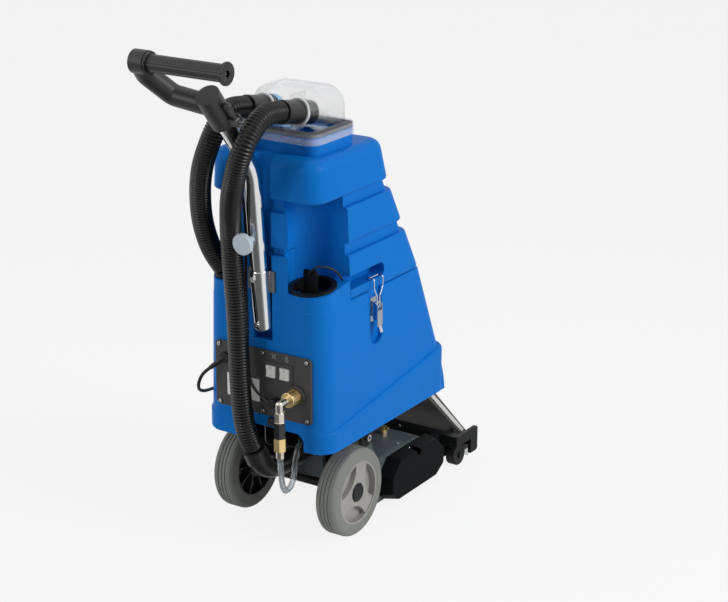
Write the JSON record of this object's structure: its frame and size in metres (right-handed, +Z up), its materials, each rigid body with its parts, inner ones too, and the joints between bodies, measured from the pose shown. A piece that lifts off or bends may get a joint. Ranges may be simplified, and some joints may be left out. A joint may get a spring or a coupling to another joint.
{
  "type": "carpet extractor",
  "caption": "Upright walk-behind carpet extractor: stacked solution and recovery tanks on wheels, chrome handle, ribbed vacuum hoses, powered brush deck and fishtail vacuum shoe.",
  "frame": {"origin": "on the floor, straight under the middle of the wheel axle", "axes": "+X to the operator's right, +Y forward towards the vacuum shoe, +Z up"},
  "size_m": [0.4944, 0.8763, 1.1046],
  "materials": {
    "blue_shell": "satin moulded polyethylene",
    "clear_plastic": "clear moulded plastic",
    "grey_foam": "closed-cell foam",
    "pale_blue_plastic": "moulded plastic",
    "black_plastic": "fine-grained moulded plastic",
    "hose_plastic": "ribbed flexible hose",
    "grey_plastic": "moulded plastic",
    "rim_plastic": "moulded wheel centre",
    "white_plastic": "glossy rocker",
    "green_plastic": "glossy rocker",
    "chrome": "polished plating",
    "brass": "turned brass",
    "stainless": "pressed stainless steel",
    "cast_iron": "cast housing",
    "black_steel": "black powder coat",
    "grey_steel": "grey powder coat",
    "tyre_grey": "grey non-marking rubber",
    "black_rubber": "rubber",
    "bristle": "nylon bristle"
  },
  "bodies": {
    "chassis": {"solution_tank": "blue_shell", "recovery_tank": "blue_shell", "dome_lid": "clear_plastic", "solution_hose": "clear_plastic", "lid_gasket": "grey_foam", "float_cage": "pale_blue_plastic", "hose_cuffs": "black_plastic", "control_panel": "black_plastic", "switch_frame": "black_plastic", "tube_sleeve": "black_plastic", "belt_cover": "black_plastic", "suction_pipe": "black_plastic", "vacuum_hose_right": "hose_plastic", "vacuum_hose_left": "hose_plastic", "cord_peg": "grey_plastic", "handle_tube": "chrome", "nickel_fittings": "chrome", "fasteners": "chrome", "brass_fittings": "brass", "spray_fittings": "brass", "latch_bases": "stainless", "flange_bearing": "cast_iron", "pump": "cast_iron", "vacuum_motor": "cast_iron", "brush_motor": "cast_iron", "axle": "black_steel", "chassis_frame": "black_steel", "shoe_frame": "black_steel", "deck_housing": "grey_steel", "deck_cover": "grey_steel", "brush_end_plate": "grey_steel", "cable_boots": "black_rubber", "mains_lead": "black_rubber", "mains_coil": "black_rubber", "mains_plug": "black_rubber", "control_lead": "black_rubber", "drive_belt": "black_rubber"},
    "wheel_left": {"tyre_left": "tyre_grey", "hub_left": "rim_plastic"},
    "wheel_right": {"tyre_right": "tyre_grey", "hub_right": "rim_plastic"},
    "shoe_roller_left": {"shoe_roller_left": "black_plastic"},
    "shoe_roller_right": {"shoe_roller_right": "black_plastic"},
    "brush": {"brush_roller": "stainless", "brush_bristles": "bristle"},
    "brush_drive": {"motor_pulley": "stainless"},
    "shoe": {"shoe_body": "black_plastic", "shoe_lip": "clear_plastic"},
    "handle": {"handle_arm": "black_plastic", "handle_grip": "black_plastic"},
    "clamp": {"clamp_lever": "stainless"},
    "rocker_vacuum": {"rocker_vacuum": "white_plastic"},
    "rocker_pump": {"rocker_pump": "white_plastic"},
    "deck_switch": {"deck_rocker": "green_plastic"},
    "latch_lever_left": {"latch_lever_left": "stainless"},
    "latch_lever_right": {"latch_lever_right": "stainless"},
    "latch_bail_left": {"latch_bail_left": "stainless"},
    "latch_bail_right": {"latch_bail_right": "stainless"},
    "filler": {"filler_basket": "black_plastic", "filler_tether": "black_rubber"}
  },
  "joints": [
    {"name": "wheel_left_spin", "type": "hinge", "parent": "chassis", "child": "wheel_left", "pos_m": [-0.137, 0, 0.1], "axis": [1, 0, 0], "continuous": true},
    {"name": "wheel_right_spin", "type": "hinge", "parent": "chassis", "child": "wheel_right", "pos_m": [0.137, 0, 0.1], "axis": [1, 0, 0], "continuous": true},
    {"name": "shoe_roller_left_spin", "type": "hinge", "parent": "chassis", "child": "shoe_roller_left", "pos_m": [-0.143, 0.45, 0.026], "axis": [1, 0, 0], "continuous": true},
    {"name": "shoe_roller_right_spin", "type": "hinge", "parent": "chassis", "child": "shoe_roller_right", "pos_m": [0.143, 0.45, 0.026], "axis": [1, 0, 0], "continuous": true},
    {"name": "brush_spin", "type": "hinge", "parent": "chassis", "child": "brush", "pos_m": [0, 0.308, 0.052], "axis": [1, 0, 0], "continuous": true},
    {"name": "brush_drive_spin", "type": "hinge", "parent": "chassis", "child": "brush_drive", "pos_m": [0, 0.178, 0.072], "axis": [1, 0, 0], "continuous": true},
    {"name": "shoe_tilt", "type": "hinge", "parent": "chassis", "child": "shoe", "pos_m": [0, 0.492, 0.042], "axis": [1, 0, 0], "range_deg": [-2.5, 2.5]},
    {"name": "handle_slide", "type": "slide", "parent": "chassis", "child": "handle", "axis": [0, -0.6235, 0.7818], "range_m": [0, 0.04]},
    {"name": "clamp_turn", "type": "hinge", "parent": "handle", "child": "clamp", "pos_m": [0.036, -0.24882, 0.96591], "axis": [0, 0.7818, 0.6235], "range_deg": [0, 90]},
    {"name": "rocker_vacuum_turn", "type": "hinge", "parent": "chassis", "child": "rocker_vacuum", "pos_m": [0.025, -0.122, 0.396], "axis": [1, 0, 0], "range_deg": [-6, 6]},
    {"name": "rocker_pump_turn", "type": "hinge", "parent": "chassis", "child": "rocker_pump", "pos_m": [0.06, -0.122, 0.396], "axis": [1, 0, 0], "range_deg": [-6, 6]},
    {"name": "deck_switch_turn", "type": "hinge", "parent": "chassis", "child": "deck_switch", "pos_m": [-0.104, 0.196, 0.124], "axis": [0, 1, 0], "range_deg": [-6, 6]},
    {"name": "latch_lever_left_turn", "type": "hinge", "parent": "chassis", "child": "latch_lever_left", "pos_m": [-0.1543, 0.084, 0.512], "axis": [0, 1, 0], "range_deg": [0, 110]},
    {"name": "latch_bail_left_turn", "type": "hinge", "parent": "latch_lever_left", "child": "latch_bail_left", "pos_m": [-0.1583, 0.084, 0.504], "axis": [0, 1, 0], "range_deg": [-110, 0]},
    {"name": "latch_lever_right_turn", "type": "hinge", "parent": "chassis", "child": "latch_lever_right", "pos_m": [0.1543, 0.084, 0.512], "axis": [0, -1, 0], "range_deg": [0, 110]},
    {"name": "latch_bail_right_turn", "type": "hinge", "parent": "latch_lever_right", "child": "latch_bail_right", "pos_m": [0.1583, 0.084, 0.504], "axis": [0, -1, 0], "range_deg": [-110, 0]},
    {"name": "filler_lift", "type": "slide", "parent": "chassis", "child": "filler", "axis": [0, 0, 1], "range_m": [0, 0.045]}
  ],
  "couplings": [
    {"joint": "brush_drive_spin", "follows": "brush_spin", "ratio": 1.4375},
    {"joint": "latch_bail_left_turn", "follows": "latch_lever_left_turn", "ratio": -1},
    {"joint": "latch_bail_right_turn", "follows": "latch_lever_right_turn", "ratio": -1}
  ]
}
